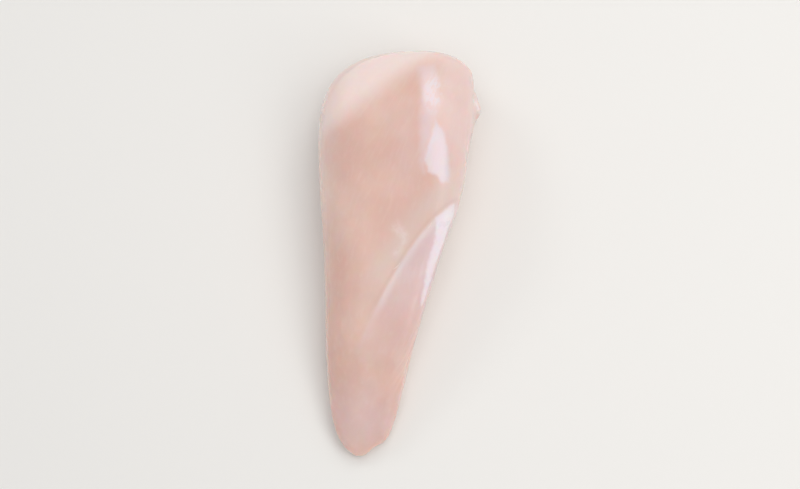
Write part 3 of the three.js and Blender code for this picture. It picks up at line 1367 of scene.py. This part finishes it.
@dataclass
class FatBeads:
    """Small soft beads of fat, sunk in the flesh where it keeps a share for them.

    Lengths are in millimetres. A bead's width and height are shares of its length.
    """

    flesh: bpy.types.Object
    tissue: Tissue = Tissue.FAT
    per_square_metre: float = 150000.0
    smallest: float = 0.7
    largest: float = 3.0
    width_share: float = 0.5
    height_share: float = 0.26
    sunk: float = 0.1
    unevenness: float = 1.1
    lump_scale: float = 0.9
    cluster_size: float = 9.0
    cluster: Ramp = Ramp(0.46, 0.6)
    fat: Ramp = Ramp(0.4, 0.8)
    seed: int = 5

    def build(self) -> bpy.types.Object:
        """Builds the piece.

        Returns:
            One mesh object with every bead.
        """
        piece = linked("fat_beads", self.flesh.data.copy())
        return self._tree().applied(piece, self._sizes(), self.tissue.value.material())

    def _sizes(self) -> dict[str, Any]:
        """Gives the tree's inputs, with lengths in metres."""
        return {
            "Density": self.per_square_metre,
            "Smallest": self.smallest * MM,
            "Largest": self.largest * MM,
            "Sunk": self.sunk * MM,
            "Unevenness": self.unevenness * MM,
            "Seed": self.seed,
        }

    def _tree(self) -> GeometryTree:
        """Builds the tree that scatters uneven beads in clusters and lays them along the flow.

        Returns:
            The tree, whose inputs are the sizes and the material.
        """
        tree = GeometryTree("fat_beads", self._sizes())
        place = tree.place()
        clusters = self.cluster(tree.noise(place, self.cluster_size, 1.0, 21.0))
        scatter = {
            "Mesh": tree.given("Geometry"),
            "Density": self.fat(tree.named("fat")) * clusters * tree.given("Density"),
            "Seed": tree.given("Seed"),
        }
        points = tree.node("GeometryNodeDistributePointsOnFaces", {}, scatter)
        outward = {"Vector": Socket(tree, points.output.node.outputs["Normal"])}
        turn = tree.node("FunctionNodeAlignRotationToVector", {"axis": "Z"}, outward)
        along = {"Rotation": turn, "Vector": tree.named("flow", "FLOAT_VECTOR")}
        turn = tree.node("FunctionNodeAlignRotationToVector", {"axis": "X", "pivot_axis": "Z"}, along)
        length = tree.random(tree.given("Smallest"), tree.given("Largest"), tree.given("Seed"))
        shape = {"X": length, "Y": length * self.width_share, "Z": length * self.height_share}
        copies = {
            "Points": points,
            "Instance": tree.node("GeometryNodeMeshIcoSphere", {}, {"Radius": 0.5, "Subdivisions": 2}),
            "Rotation": turn,
            "Scale": tree.node("ShaderNodeCombineXYZ", {}, shape),
        }
        beads = tree.node("GeometryNodeInstanceOnPoints", {}, copies)
        depth = tree.node("ShaderNodeCombineXYZ", {}, {"Z": tree.given("Sunk") * -1.0})
        beads = tree.node("GeometryNodeTranslateInstances", {}, {"Instances": beads, "Translation": depth})
        beads = tree.node("GeometryNodeRealizeInstances", {}, {"Geometry": beads})
        tree.end(tree.swayed(beads, place, self.lump_scale, 2.0, tree.given("Unevenness")))
        return tree


@dataclass(frozen=True)
class Softbox:
    """A rectangular light that points at the breast. Angles are in degrees, lengths in metres."""

    name: str
    azimuth: float
    elevation: float
    distance: float
    size: tuple[float, float]
    power: float
    colour: Colour = (255, 252, 248)

    def build(self, target: Vector) -> bpy.types.Object:
        """Adds the light.

        Args:
            target: The point that it faces.

        Returns:
            The light's object.
        """
        light = bpy.data.lights.new(self.name, "AREA")
        light.shape = "RECTANGLE"
        light.size, light.size_y = self.size
        light.energy = self.power
        light.color = linear(self.colour)[:3]
        lamp = bpy.data.objects.new(self.name, light)
        bpy.context.scene.collection.objects.link(lamp)
        turn, rise = math.radians(self.azimuth), math.radians(self.elevation)
        level = math.cos(rise)
        out = Vector((math.sin(turn) * level, math.cos(turn) * level, math.sin(rise)))
        lamp.location = target + out * self.distance
        lamp.rotation_euler = (-out).to_track_quat("-Z", "Y").to_euler()
        return lamp


@dataclass(frozen=True)
class Studio:
    """The floor, the light and the camera. The azimuth of a light is counted from +Y towards +X."""

    floor: FloorFinish = field(default_factory=FloorFinish)
    floor_size: float = 8.0
    # The colours of the sky and the horizon, and the sines of the angles where one turns into the other.
    sky: Colour = (189, 191, 193)
    horizon: Colour = (238, 238, 238)
    horizon_sine: float = 0.08
    clear_sine: float = 0.3
    # The camera's angle in degrees, its lens and sensor in millimetres, and how far it sees in metres.
    camera_elevation: float = 75.0
    lens: float = 100.0
    sensor: float = 36.0
    nearest: float = 0.05
    farthest: float = 50.0
    filled_height: float = 0.87
    softboxes: tuple[Softbox, ...] = (
        Softbox("flank_panel", 88.0, 63.0, 0.8, (0.45, 0.56), 1.35),
        Softbox("membrane_panel", 122.0, 42.0, 0.8, (0.25, 0.45), 0.7),
        Softbox("shoulder_panel", 24.0, 44.0, 0.9, (0.5, 0.45), 1.5),
        Softbox("head_panel", -50.0, 36.0, 1.2, (0.42, 0.3), 1.4),
        Softbox("overhead_panel", 205.0, 76.0, 1.1, (0.65, 0.65), 1.6),
    )

    def build(self, low: Vector, high: Vector) -> None:
        """Adds the floor, the lights and the camera.

        Args:
            low: The lowest corner of the breast's box.
            high: Its highest corner.
        """
        target = (low + high) / 2
        self._add_floor()
        self._add_sky()
        for softbox in self.softboxes:
            softbox.build(target)
        self._add_camera(target, high - low)

    def _add_floor(self) -> None:
        """Adds the floor and marks it as stage."""
        bpy.ops.mesh.primitive_grid_add(x_subdivisions=8, y_subdivisions=8, size=self.floor_size)
        floor = bpy.context.object
        floor.name = "studio_floor"
        floor.data.materials.append(self.floor.material())
        floor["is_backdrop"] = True

    def _add_sky(self) -> None:
        """Adds the even light from all round, with a pale band above the floor's far edge."""
        world = bpy.data.worlds.new("studio_sky")
        world.use_nodes = True
        tree = NodeTree(world.node_tree)
        direction = tree.node("ShaderNodeTexCoord", output="Generated")
        sine = tree.node("ShaderNodeSeparateXYZ", {}, {"Vector": direction}, "Z")
        height = sine.step(self.horizon_sine, self.clear_sine)
        colour = tree.mix(height, linear(self.horizon), linear(self.sky))
        background = world.node_tree.nodes["Background"]
        world.node_tree.links.new(colour.output, background.inputs["Color"])
        bpy.context.scene.world = world

    def _add_camera(self, target: Vector, size: Vector) -> None:
        """Adds the camera above the tail, with the breast as high in the picture as asked.

        Args:
            target: The point that it faces.
            size: The breast's box, from its lowest corner to its highest.
        """
        camera = bpy.data.cameras.new("photo_camera")
        camera.lens = self.lens
        camera.sensor_width = self.sensor
        camera.clip_start = self.nearest
        camera.clip_end = self.farthest
        rise = math.radians(self.camera_elevation)
        seen_height = size.y * math.sin(rise) + size.z * math.cos(rise)
        picture_height = self.sensor * PICTURE_HEIGHT / PICTURE_WIDTH
        distance = seen_height / self.filled_height * self.lens / picture_height
        back = Vector((0.0, -math.cos(rise), math.sin(rise)))
        holder = bpy.data.objects.new("photo_camera", camera)
        bpy.context.scene.collection.objects.link(holder)
        holder.location = target + back * distance
        holder.rotation_euler = (-back).to_track_quat("-Z", "Y").to_euler()
        bpy.context.scene.camera = holder


def attach(piece: bpy.types.Object, replaced: Optional[str] = None) -> None:
    """Puts a piece on the breast's one body, hides the solid that it stands for and logs its faces.

    Args:
        piece: The finished piece.
        replaced: The solid that it stands for, if it does.
    """
    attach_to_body(piece, BODY)
    if replaced:
        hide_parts(replaced)
    LOG.info("%s has %d faces", piece.name, len(piece.data.polygons))


def main() -> None:
    """Builds the breast and the studio."""
    logging.basicConfig(level=logging.INFO, format="%(message)s")
    bpy.context.scene.view_settings.view_transform = "Standard"
    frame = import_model()
    solid_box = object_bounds()
    flesh = FleshSurface(frame["nodes"][NODE]).build()
    attach(flesh, NODE)
    for strands in Strands(flesh).build():
        attach(strands)
    attach(FatBeads(flesh).build())
    Studio().build(*solid_box)


if __name__ == "__main__":
    main()
